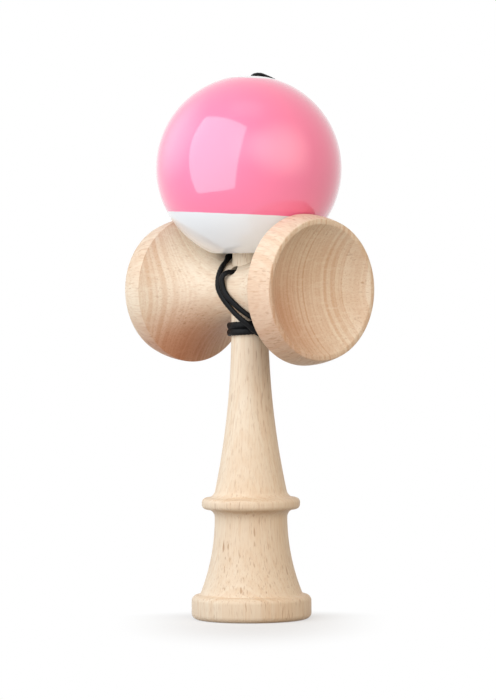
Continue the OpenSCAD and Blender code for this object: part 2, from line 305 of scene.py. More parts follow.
@dataclass(frozen=True)
class Beech:
    """Bare, fine-sanded beech with growth rings, rays, pores and short brown flecks."""

    name: str
    fibre: Fibre
    pith: Pair
    contrast: float = 0.5
    pale: Colour = linear(235, 220, 198)
    late: Colour = linear(211, 172, 130)
    end: Colour = linear(206, 160, 118)
    fleck: Colour = linear(163, 112, 68)
    painted_shades: Tuple[PaintedShade, ...] = ()
    end_facing: Pair = (0.4, 0.95)
    end_contrast: float = 0.3
    end_share: float = 0.08
    ring_wander: float = 2.4 * MM
    painted_shade_wander: float = 16 * MM
    years: Rings = Rings(880, 3.1, 4, 0.42, 0.64)
    seasons: Rings = Rings(1700, 5.3, 6, 0.4, 0.7)
    spells: Rings = Rings(150, 7.7, 3, 0.3, 0.7)
    ring_lift: float = -0.25
    ray_pitch: Point = (140, 190, 40)
    ray_levels: Pair = (0.52, 0.74)
    ray_share: float = 0.5
    ray_lift: float = 0.2
    streaks: Grain = Grain(1700, 0.022, 0.42, 0.78, detail=2, share=0.3, lift=0.4)
    tones: Grain = Grain(70, 0.15, 0.35, 0.75, detail=2, share=0.25)
    patches: Grain = Grain(95, 0.3, 0.35, 0.65)
    dashes: Grain = Grain(1900, 0.12, 0.6, 0.72, rough=0.4, share=0.36, end_loss=0.18, lift=-0.5)
    spots: Grain = Grain(780, 0.17, 0.7, 0.78, rough=0.3, share=0.55, end_loss=0.33)
    pores: Grain = Grain(3200, 0.1, 0.58, 0.75, share=0.16, lift=-0.3)
    roughness: float = 0.48
    rough_gain: float = 0.1

    def material(self) -> bpy.types.Material:
        """Build the wood's material.

        Returns:
            The material, on the piece's own coordinates.
        """
        shade = Shade.material(self.name)
        place = shade.parts(shade.coordinates())
        side, deep, along = (place[i] for i in self.fibre.value)
        facing = abs(shade.parts(shade.coordinates("Normal"))[self.fibre.value[2]])
        end_grain = facing.step(*self.end_facing)

        wander = shade.noise(shade.vector(side, deep, along * 0.2), scale=38) - 0.5
        out = side - self.pith[0]
        up = deep - self.pith[1]
        radius = (out * out + up * up).root() + wander * self.ring_wander
        years, seasons, spells = (
            each.draw(shade, radius, along) for each in (self.years, self.seasons, self.spells))
        rings = (years * 0.75 + seasons * 0.25) * (0.7 + spells * 0.3)

        streak, tone, patches, dash, spot, pores = (
            each.draw(shade, side, deep, along) for each in (
                self.streaks, self.tones, self.patches, self.dashes, self.spots, self.pores))
        dashes = dash * (0.4 + patches * 0.6)
        spots = spot * patches
        turn = up.math("ARCTAN2", up, out)
        by_turn, by_radius, by_length = self.ray_pitch
        rays = shade.vector(turn * by_turn, radius * by_radius, along * by_length)
        ray = shade.noise(rays).step(*self.ray_levels)

        ring_share = rings * (self.contrast + end_grain * self.end_contrast)
        colour = shade.mix(ring_share, self.pale, self.late)
        colour = shade.mix(end_grain * self.end_share, colour, self.end)
        colour = shade.mix(tone * self.tones.share, colour, self.late)
        colour = shade.mix(streak * self.streaks.share, colour, self.late)
        colour = shade.mix(ray * end_grain * self.ray_share, colour, self.pale)
        for mask, each in ((dashes, self.dashes), (spots, self.spots)):
            colour = shade.mix(mask * (each.share - end_grain * each.end_loss), colour, self.fleck)
        colour = shade.mix(pores * self.pores.share, colour, self.fleck)
        # Painted warm shade: round each patch the wood's colour is multiplied darker and more
        # orange.
        for painted in self.painted_shades:
            gap = shade.node("ShaderNodeVectorMath", {"operation": "DISTANCE"},
                             {0: shade.coordinates(), 1: painted.at}, "Value")
            shade_mask = 1 - (gap + wander * self.painted_shade_wander).step(0.0, painted.reach)
            colour = shade.mix(shade_mask * painted.share, colour, painted.colour, "MULTIPLY")
        rough = self.roughness + streak * self.rough_gain + dashes * self.rough_gain
        relief = streak * self.streaks.lift + ray * self.ray_lift + dashes * self.dashes.lift
        relief = relief + pores * self.pores.lift + rings * self.ring_lift
        normal = shade.bump(relief, distance=0.07 * MM, strength=0.6)
        return shade.finish(Base_Color=colour, Roughness=rough, Normal=normal, IOR=1.45,
                            Specular_IOR_Level=0.35)


@dataclass(frozen=True)
class Lacquer:
    """Glossy lacquer over the ball: pink, with a white lower band and a white top."""

    name: str
    middle: Point
    tilt: float = 2.9
    low: float = -15.1 * MM
    high: float = 28.95 * MM
    edge: float = 0.1 * MM
    waver: float = 0.25 * MM
    pink: Colour = linear(255, 125, 168)
    cloud: Colour = linear(252, 117, 161)
    white: Colour = linear(243, 249, 255)

    def lean(self) -> Point:
        """Give the way that the colours are stacked, tilted to the camera's right."""
        turn, side = math.radians(self.tilt), math.radians(CAMERA_SIDE)
        return math.sin(turn) * math.cos(side), math.sin(turn) * math.sin(side), math.cos(turn)

    def material(self) -> bpy.types.Material:
        """Build the lacquer's material.

        Returns:
            The material, on the ball's own coordinates.
        """
        shade = Shade.material(self.name)
        place = shade.coordinates()
        apart = shade.node("ShaderNodeVectorMath", {"operation": "SUBTRACT"},
                           {0: place, 1: self.middle})
        height = shade.node("ShaderNodeVectorMath", {"operation": "DOT_PRODUCT"},
                            {0: apart, 1: self.lean()}, "Value")
        level = height + (shade.noise(place, scale=220, detail=1) - 0.5) * self.waver
        band = 1 - level.step(self.low - self.edge, self.low + self.edge)
        top = level.step(self.high - self.edge, self.high + self.edge)
        bare = band.math("MAXIMUM", band, top)
        clouds = shade.noise(place, scale=70).step(0.3, 0.7)
        pink = shade.mix(clouds * 0.12, self.pink, self.cloud)
        colour = shade.mix(bare, pink, self.white)
        ridge = bare * 0.6 + shade.noise(place, scale=420, detail=1) * 0.12
        normal = shade.bump(ridge, distance=0.05 * MM, strength=0.25)
        rough = 0.16 + shade.noise(place, scale=900, detail=1) * 0.05
        return shade.finish(Base_Color=colour, Roughness=rough, Normal=normal, IOR=1.5,
                            Coat_Weight=1.0, Coat_Roughness=0.05, Coat_IOR=1.7,
                            Specular_IOR_Level=0.2)


@dataclass(frozen=True)
class Braid:
    """Black braided yarn."""

    name: str
    dark: Colour = linear(7, 7, 8)
    worn: Colour = linear(24, 24, 27)

    def material(self) -> bpy.types.Material:
        """Build the yarn's material.

        Returns:
            The material, on the string's own UV map and coordinates.
        """
        shade = Shade.material(self.name)
        around, along, _ = shade.parts(shade.coordinates("UV"))
        hair = shade.noise(shade.vector(around * 60, along * 900, 0.0))
        fuzz = shade.noise(shade.coordinates(), scale=2400)
        colour = shade.mix(hair.step(0.45, 0.8) * 0.6, self.dark, self.worn)
        colour = shade.mix(fuzz.step(0.6, 0.8) * 0.35, colour, self.worn)
        normal = shade.bump(hair * 0.6 + fuzz * 0.4, distance=0.05 * MM, strength=0.6)
        return shade.finish(Base_Color=colour, Roughness=0.36 + hair * 0.2, Normal=normal,
                            Specular_IOR_Level=0.13)


def deselect() -> None:
    """Leave edit mode and deselect everything."""
    if bpy.context.object and bpy.context.object.mode != "OBJECT":
        bpy.ops.object.mode_set(mode="OBJECT")
    bpy.ops.object.select_all(action="DESELECT")


def pick(piece: bpy.types.Object) -> None:
    """Select one object alone and make it the active one.

    Args:
        piece: The object.
    """
    deselect()
    piece.select_set(True)
    bpy.context.view_layer.objects.active = piece


def coat(piece: bpy.types.Object, finish: Union[Beech, Lacquer]) -> None:
    """Give a piece one finish all over, in place of any other."""
    piece.data.materials.clear()
    piece.data.materials.append(finish.material())


def arc(centre: Pair, radius: float, start: float, end: float, steps: int) -> List[Pair]:
    """Give points along an arc of a half section.

    Args:
        centre: Its middle, as radius and height.
        radius: Radius of the arc.
        start: First angle in degrees, from the direction away from the axis.
        end: Last angle.
        steps: How many steps it takes.

    Returns:
        The points, both ends included.
    """
    angles = [math.radians(start + (end - start) * i / steps) for i in range(steps + 1)]
    return [(centre[0] + radius * math.cos(a), centre[1] + radius * math.sin(a)) for a in angles]


def arc_between(first: Pair, last: Pair, radius: float, steps: int) -> List[Pair]:
    """Give points along the arc that swells to the right of the way from first to last.

    Args:
        first: Where it starts.
        last: Where it ends.
        radius: Radius of the arc.
        steps: How many steps it takes.

    Returns:
        The points, both ends included.
    """
    a, b = Vector(first), Vector(last)
    chord = b - a
    left = Vector((-chord.y, chord.x)).normalized()
    centre = (a + b) / 2 + left * math.sqrt(radius ** 2 - chord.length_squared / 4)
    start = math.degrees(math.atan2(a.y - centre.y, a.x - centre.x))
    turn = math.degrees(2 * math.asin(chord.length / 2 / radius))
    return arc((centre.x, centre.y), radius, start, start + turn, steps)


def hollow(radius: float, height: float, curve: float, low: float, high: float,
           steps: int) -> List[Pair]:
    """Give points up a hollow side that is narrowest at one height.

    Args:
        radius: Radius where it is narrowest.
        height: Height where it is narrowest.
        curve: Radius of the hollow curve.
        low: Height where it starts.
        high: Height where it ends.
        steps: How many steps it takes.

    Returns:
        The points, both ends included.
    """
    heights = [low + (high - low) * i / steps for i in range(steps + 1)]
    return [(radius + curve - math.sqrt(curve ** 2 - (z - height) ** 2), z) for z in heights]


def cove_onto(radius: float, height: float, curve: float, face: float, size: float,
              steps: int) -> List[Pair]:
    """Give the arc that leads from a face up into a hollow side and touches both.

    Args:
        radius: Radius where the hollow side is narrowest.
        height: Height where it is narrowest.
        curve: Radius of the hollow curve.
        face: Height of the face.
        size: Radius of the cove.
        steps: How many steps it takes.

    Returns:
        The points, both ends included.
    """
    middle, reach = face + size, curve - size
    lean = math.asin((height - middle) / reach)
    centre = (radius + curve - reach * math.cos(lean), middle)
    return arc(centre, size, 270, 180 + math.degrees(lean), steps)


@dataclass
class Lathe:
    """Turns half sections into solids with Blender's own tools."""

    steps: int = 160
    ease: float = 0.28 * MM
    ease_angle: float = 35
    ease_steps: int = 3
    drill_sides: int = 64
    least: float = 1e-6
    weld: float = 2e-6

    def turn(self, name: str, section: Sequence[Pair], closed: bool = False) -> bpy.types.Object:
        """Draw a half section point by point, spin it about Z and ease its edges.

        Args:
            name: Name of the piece.
            section: Radius and height of each point.
            closed: Whether the section is a ring that comes back to its first point.

        Returns:
            The turned piece.
        """
        points = [section[0]]
        for point in section[1:]:
            if math.dist(point, points[-1]) > self.least:
                points.append(point)
        if closed:
            points.append(points[0])
        deselect()
        bpy.ops.mesh.primitive_plane_add(size=MM)
        piece = bpy.context.object
        piece.name = name
        bpy.ops.object.mode_set(mode="EDIT")
        bpy.ops.mesh.select_all(action="SELECT")
        bpy.ops.mesh.merge(type="CENTER")
        bpy.ops.transform.translate(value=(points[0][0], 0, points[0][1]))
        for here, there in zip(points, points[1:]):
            move = (there[0] - here[0], 0, there[1] - here[1])
            bpy.ops.mesh.extrude_vertices_move(TRANSFORM_OT_translate={"value": move})
        bpy.ops.mesh.select_all(action="SELECT")
        bpy.ops.mesh.spin(steps=self.steps, angle=2 * math.pi, center=(0, 0, 0), axis=(0, 0, 1))
        bpy.ops.mesh.select_all(action="SELECT")
        bpy.ops.mesh.remove_doubles(threshold=self.weld)
        bpy.ops.mesh.normals_make_consistent(inside=False)
        bpy.ops.object.mode_set(mode="OBJECT")
        soften = piece.modifiers.new("ease", "BEVEL")
        soften.limit_method = "ANGLE"
        soften.angle_limit = math.radians(self.ease_angle)
        soften.width = self.ease
        soften.segments = self.ease_steps
        bpy.ops.object.modifier_apply(modifier=soften.name)
        return piece

    def bore(self, piece: bpy.types.Object, radii: Pair, start: Point, end: Point) -> None:
        """Cut a round, straight or tapered hole through a piece.

        Args:
            piece: What is bored.
            radii: Radius at the start and at the end.
            start: Middle of the hole's first end.
            end: Middle of its last end.
        """
        first, last = Vector(start), Vector(end)
        way = last - first
        deselect()
        bpy.ops.mesh.primitive_cone_add(vertices=self.drill_sides, radius1=radii[0],
                                        radius2=radii[1], depth=way.length)
        tool = bpy.context.object
        tool.rotation_euler = way.to_track_quat("Z", "Y").to_euler()
        tool.location = (first + last) / 2
        bpy.ops.object.transform_apply(location=True, rotation=True, scale=True)
        pick(piece)
        cut = piece.modifiers.new("bore", "BOOLEAN")
        cut.operation = "DIFFERENCE"
        cut.solver = "EXACT"
        cut.object = tool
        bpy.ops.object.modifier_apply(modifier=cut.name)
        bpy.data.objects.remove(tool)

    @staticmethod
    def smooth(piece: bpy.types.Object, angle: float = 32) -> None:
        """Shade a piece smooth except at edges sharper than an angle."""
        pick(piece)
        bpy.ops.object.shade_smooth_by_angle(angle=math.radians(angle))


@dataclass
class Ken:
    """The turned handle: base cup, body, ring, shaft and spike."""

    lathe: Lathe
    finish: Beech
    base_r: float = 19.4 * MM
    base_h: float = 7.9 * MM
    foot_round: float = 2 * MM
    flange_round: float = 2 * MM
    flange_cove: float = 1 * MM
    cup_r: float = 16 * MM
    cup_depth: float = 7 * MM
    body_r: float = 11.75 * MM
    body_curve: float = 66 * MM
    ring_r: float = 15.9 * MM
    ring_low: float = 35.55 * MM
    ring_high: float = 39.25 * MM
    ring_round: float = 1.5 * MM
    ring_cove: float = 2.6 * MM
    shaft_cove: float = 2.8 * MM
    neck_r: float = NECK_R * MM
    shaft_curve: float = SHAFT_CURVE * MM
    seat_low: float = SEAT_LOW * MM
    seat_high: float = SEAT_HIGH * MM
    seat_top_r: float = SEAT_TOP_R * MM
    tip_r: float = 3.2 * MM
    tip_z: float = 154.272 * MM
    bore_z: float = BORE_Z * MM
    bore_r: float = BORE_R * MM
    bore_start: float = 1.2
    bore_overlap: float = 0.5 * MM
    pocket_r: float = 2.4 * MM
    pocket_y: float = 2 * MM
    piece: Optional[bpy.types.Object] = None

    def section(self) -> List[Pair]:
        """Give the half section, from the middle of the base cup up to the tip of the spike.

        Returns:
            Radius and height of each point.
        """
        curve = (self.cup_r ** 2 + self.cup_depth ** 2) / (2 * self.cup_depth)
        wide = math.degrees(math.asin(self.cup_r / curve))
        cup = arc((0, self.cup_depth - curve), curve, 90, 90 - wide, steps=20)
        foot_r = self.base_r - self.foot_round
        foot = arc((foot_r, self.foot_round), self.foot_round, -90, 0, steps=10)
        top_r = self.base_r - self.flange_round
        flange = arc((top_r, self.base_h - self.flange_round), self.flange_round, 0, 90, steps=8)
        narrow = self.ring_low - self.ring_cove
        step = cove_onto(self.body_r, narrow, self.body_curve, self.base_h, self.flange_cove,
                         steps=8)
        body = hollow(self.body_r, narrow, self.body_curve, step[-1][1], narrow, steps=24)
        under = arc((self.body_r + self.ring_cove, narrow), self.ring_cove, 180, 90, steps=8)
        edge_r = self.ring_r - self.ring_round
        ring = arc((edge_r, self.ring_low + self.ring_round), self.ring_round, -90, 0, steps=8)
        ring += arc((edge_r, self.ring_high - self.ring_round), self.ring_round, 0, 90, steps=8)
        over = cove_onto(self.neck_r, self.seat_low, self.shaft_curve, self.ring_high,
                         self.shaft_cove, steps=12)
        shaft = hollow(self.neck_r, self.seat_low, self.shaft_curve, over[-1][1], self.seat_low,
                       steps=40)
        tip = arc((0, self.tip_z - self.tip_r), self.tip_r, 0, 90, steps=14)
        seat = [(self.neck_r, self.seat_low), (self.seat_top_r, self.seat_high)]
        return [*cup, *foot, *flange, *step, *body, *under, *ring, *over, *shaft, *seat, *tip]

    def build(self) -> None:
        """Turn the ken and bore it for the string and its knot."""
        self.piece = self.lathe.turn("ken_turned", self.section())
        reach = self.neck_r * self.bore_start
        bore_end = self.pocket_y + self.bore_overlap
        self.lathe.bore(self.piece, (self.bore_r, self.bore_r),
                        (0, -reach, self.bore_z), (0, bore_end, self.bore_z))
        self.lathe.bore(self.piece, (self.pocket_r, self.pocket_r),
                        (0, self.pocket_y, self.bore_z), (0, reach, self.bore_z))
        self.lathe.smooth(self.piece)

    def dress(self) -> None:
        """Give the ken its wood and set it on its body."""
        coat(self.piece, self.finish)
        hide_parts("ken")
        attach(self.piece, "ken")
        LOG.info("ken: %d faces", len(self.piece.data.polygons))


@dataclass(frozen=True)
class Cup:
    """One side of the cross piece."""

    reach: float
    edge: float
    edge_r: float
    lip_r: float
    depth: float


@dataclass
class CrossPiece:
    """The turned cross piece with the big cup on +X and the small cup on -X."""

    lathe: Lathe
    finish: Beech
    axis_z: float = CROSS_Z * MM
    waist_r: float = WAIST_R * MM
    waist_half: float = WAIST_HALF * MM
    edge_flat: float = 0.3 * MM
    rim: float = 1.6 * MM
    swell: float = 30 * MM
    big: Cup = Cup(reach=35.1 * MM, edge=26.4 * MM, edge_r=24.2 * MM, lip_r=22.5 * MM,
                   depth=10 * MM)
    small: Cup = Cup(reach=37 * MM, edge=27.8 * MM, edge_r=23.7 * MM, lip_r=21.8 * MM,
                     depth=9.5 * MM)
    seat: Tuple[Pair, Pair] = ((NECK_R * MM, SEAT_LOW * MM), (SEAT_TOP_R * MM, SEAT_HIGH * MM))
    bore_z: float = BORE_Z * MM
    bore_r: float = BORE_R * MM
    piece: Optional[bpy.types.Object] = None

    def side(self, cup: Cup) -> List[Pair]:
        """Give the half section from the waist's middle to the middle of one cup.

        Args:
            cup: Sizes of that side.

        Returns:
            Radius and distance from the ken of each point.
        """
        flare_r = cup.edge_r - self.edge_flat
        run, rise = cup.edge - self.waist_half, flare_r - self.waist_r
        curve = (run ** 2 + rise ** 2) / (2 * rise)
        flare = hollow(self.waist_r, self.waist_half, curve, self.waist_half, cup.edge, steps=36)
        band = arc_between((cup.edge_r, cup.edge), (cup.lip_r, cup.reach), self.swell, steps=10)
        mouth_r = cup.lip_r - self.rim
        dish = (mouth_r ** 2 + cup.depth ** 2) / (2 * cup.depth)
        wide = math.degrees(math.asin(mouth_r / dish))
        bowl = arc((0, cup.reach - cup.depth + dish), dish, wide - 90, -90, steps=30)
        return flare + band + bowl

    def build(self) -> None:
        """Turn the cross piece, lay it along X and bore it for the ken and the string."""
        big = self.side(self.big)
        small = [(r, -z) for r, z in reversed(self.side(self.small))]
        self.piece = self.lathe.turn("cross_piece_turned", small + big)
        pick(self.piece)
        self.piece.rotation_euler = (0, math.pi / 2, 0)
        self.piece.location = (0, 0, self.axis_z)
        bpy.ops.object.transform_apply(location=True, rotation=True, scale=True)
        (low_r, low), (high_r, high) = self.seat
        self.lathe.bore(self.piece, (low_r, high_r), (0, 0, low), (0, 0, high))
        self.lathe.bore(self.piece, (self.bore_r, self.bore_r),
                        (0, -2 * self.waist_r, self.bore_z), (0, 0, self.bore_z))
        self.lathe.smooth(self.piece)

    def dress(self) -> None:
        """Give the cross piece its wood and set it on the ken's body."""
        coat(self.piece, self.finish)
        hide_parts("cross_piece")
        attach(self.piece, "ken")
        LOG.info("cross piece: %d faces", len(self.piece.data.polygons))


@dataclass
class Ball:
    """The lacquered ball with its hole, bead pocket and string bore."""

    lathe: Lathe
    finish: Lacquer
    radius: float = BALL_R * MM
    middle_z: float = BALL_Z * MM
    mouth_r: float = 12.2 * MM
    mouth_lip: float = 0.4 * MM
    bevel: float = 1.6 * MM
    hole_end_r: float = 7 * MM
    hole_end_z: float = 158.272 * MM
    hole_steps: int = 12
    pocket_r: float = 4.9 * MM
    bead_z: float = BEAD_Z * MM
    bore_r: float = BORE_R * MM
    sink: float = 3 * MM
    piece: Optional[bpy.types.Object] = None

    def section(self) -> List[Pair]:
        """Give the half section as a ring: down the outside and up through hole and bore.

        Returns:
            Radius and height of each point.
        """
        top = self.middle_z + self.radius
        mouth_z = self.middle_z - math.sqrt(self.radius ** 2 - self.mouth_r ** 2)
        gap = self.radius - self.sink - self.bore_r
        rise = (gap + math.sqrt(2 * self.radius ** 2 - gap ** 2)) / 2
        start = math.degrees(math.asin(rise / self.radius))
        end = -math.degrees(math.acos(self.mouth_r / self.radius))
        outside = arc((0, self.middle_z), self.radius, start, end, steps=110)
        hole_r = self.mouth_r - self.mouth_lip - self.bevel
        bevel_r = hole_r - (hole_r - self.hole_end_r) * self.bevel / (self.hole_end_z - mouth_z)
        bevel_z = mouth_z + self.bevel
        mouth = [(self.mouth_r - self.mouth_lip, mouth_z), (bevel_r, bevel_z)]
        shares = [i / self.hole_steps for i in range(self.hole_steps + 1)]
        hole = [(bevel_r + (self.hole_end_r - bevel_r) * share,
                 bevel_z + (self.hole_end_z - bevel_z) * share) for share in shares]
        narrow = math.degrees(math.acos(self.bore_r / self.pocket_r))
        pocket = [(self.pocket_r, self.hole_end_z)]
        pocket += arc((0, self.bead_z), self.pocket_r, 0, narrow, steps=10)
        return outside + mouth + hole + pocket + [(self.bore_r, top - self.sink)]

    def build(self) -> None:
        """Turn the ball."""
        self.piece = self.lathe.turn("ball_turned", self.section(), closed=True)
        self.lathe.smooth(self.piece)

    def dress(self) -> None:
        """Lacquer the ball and set it on its body."""
        coat(self.piece, self.finish)
        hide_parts("ball")
        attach(self.piece, "ball")
        LOG.info("ball: %d faces", len(self.piece.data.polygons))


@dataclass
class Bead:
    """The bead in the ball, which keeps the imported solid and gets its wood."""

    finish: Beech

    def dress(self) -> None:
        """Give the bead its wood."""
        coat(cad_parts["bead"], self.finish)
        LOG.info("bead: packed solid kept")


def smooth_line(points: np.ndarray, steps: int) -> np.ndarray:
    """Draw a smooth line through points, as the part's source does.

    Args:
        points: The points, one to a row.
        steps: Steps from each point to the next.

    Returns:
        The line's points.
    """
    ends = np.vstack([points[:1], points, points[-1:]])
    line = []
    for p0, p1, p2, p3 in zip(ends, ends[1:], ends[2:], ends[3:]):
        for t in np.arange(steps) / steps:
            bend = 2 * p0 - 5 * p1 + 4 * p2 - p3
            twist = 3 * p1 - p0 - 3 * p2 + p3
            line.append(p1 + ((p2 - p0) * t + bend * t * t + twist * t ** 3) / 2)
    return np.vstack([line, points[-1:]])


def lengths_along(line: np.ndarray) -> np.ndarray:
    """Give the distance of each point from the start, along the line."""
    return np.concatenate([[0], np.cumsum(np.linalg.norm(np.diff(line, axis=0), axis=1))])


def even_line(line: np.ndarray, spacing: float) -> np.ndarray:
    """Space a line's points evenly.

    Args:
        line: The line's points.
        spacing: Distance from each point to the next.

    Returns:
        The evenly spaced points.
    """
    lengths = lengths_along(line)
    places = np.linspace(0, lengths[-1], max(2, round(lengths[-1] / spacing)) + 1)
    return np.stack([np.interp(places, lengths, line[:, i]) for i in range(3)], axis=1)


def unit(rows: np.ndarray) -> np.ndarray:
    """Scale each row to length 1."""
    return rows / np.maximum(np.linalg.norm(rows, axis=1, keepdims=True), 1e-12)


@dataclass
class Yarn:
    """Makes a braided tube along a line."""

    half_width: float
    half_thick: float
    sides: int = 20
    strands: int = 4
    lay_length: float = 5.2 * MM
    relief: float = 0.13 * MM
    crown: float = 0.7
    weave: float = 0.3
    level: float = 0.6
    sink: float = 0.0

    def tube(self, name: str, line: np.ndarray, outward: np.ndarray) -> bpy.types.Object:
        """Build the tube with its crossing strands and a UV map along it.

        Args:
            name: Name of the piece.
            line: Evenly spaced points of its middle.
            outward: Direction of its thin side at each point.

        Returns:
            The tube.
        """
        along = unit(np.gradient(line, axis=0))
        thin = unit(outward - (outward * along).sum(1, keepdims=True) * along)
        wide = np.cross(along, thin)
        lengths = lengths_along(line)
        turn = np.arange(self.sides) / self.sides
        right = self.strands * (turn[None] + lengths[:, None] / self.lay_length)
        left = self.strands * (turn[None] - lengths[:, None] / self.lay_length)
        over = self.weave * np.cos(math.pi * (right - left))
        height = np.maximum(np.abs(np.cos(math.pi * right)) * (self.crown + over),
                            np.abs(np.cos(math.pi * left)) * (self.crown - over))
        grow = self.relief * (height - self.level)
        angle = 2 * math.pi * turn[None]
        spread = (self.half_width + grow) * np.cos(angle)
        lift = (self.half_thick + grow) * np.sin(angle) - self.sink
        rings = line[:, None] + spread[..., None] * wide[:, None] + lift[..., None] * thin[:, None]
        return self.skin(name, rings, lengths)

    def skin(self, name: str, rings: np.ndarray, lengths: np.ndarray) -> bpy.types.Object:
        """Join rings of points into one closed tube.

        Args:
            name: Name of the piece.
            rings: Points, ring by ring.
            lengths: Distance of each ring along the tube.

        Returns:
            The tube.
        """
        count, sides = rings.shape[:2]
        ends = [rings[0].mean(0).tolist(), rings[-1].mean(0).tolist()]
        points = [*rings.reshape(-1, 3).tolist(), *ends]
        first, last = count * sides, count * sides + 1
        faces: List[Tuple[int, ...]] = []
        uvs: List[Pair] = []
        for i in range(count - 1):
            low, high = i * sides, (i + 1) * sides
            here, there = lengths[i], lengths[i + 1]
            for s in range(sides):
                t = (s + 1) % sides
                faces.append((low + s, low + t, high + t, high + s))
                left, right = s / sides, (s + 1) / sides
                uvs += [(left, here), (right, here), (right, there), (left, there)]
        end = (count - 1) * sides
        for s in range(sides):
            t = (s + 1) % sides
            faces.append((first, t, s))
            faces.append((last, end + s, end + t))
            uvs += [(s / sides, lengths[0])] * 3 + [(s / sides, lengths[-1])] * 3
        mesh = bpy.data.meshes.new(name)
        mesh.from_pydata(points, [], faces)
        layer = mesh.uv_layers.new(name="along")
        layer.data.foreach_set("uv", np.array(uvs, dtype=np.float32).ravel())
        piece = bpy.data.objects.new(name, mesh)
        bpy.context.scene.collection.objects.link(piece)
        Lathe.smooth(piece, angle=60)
        return piece


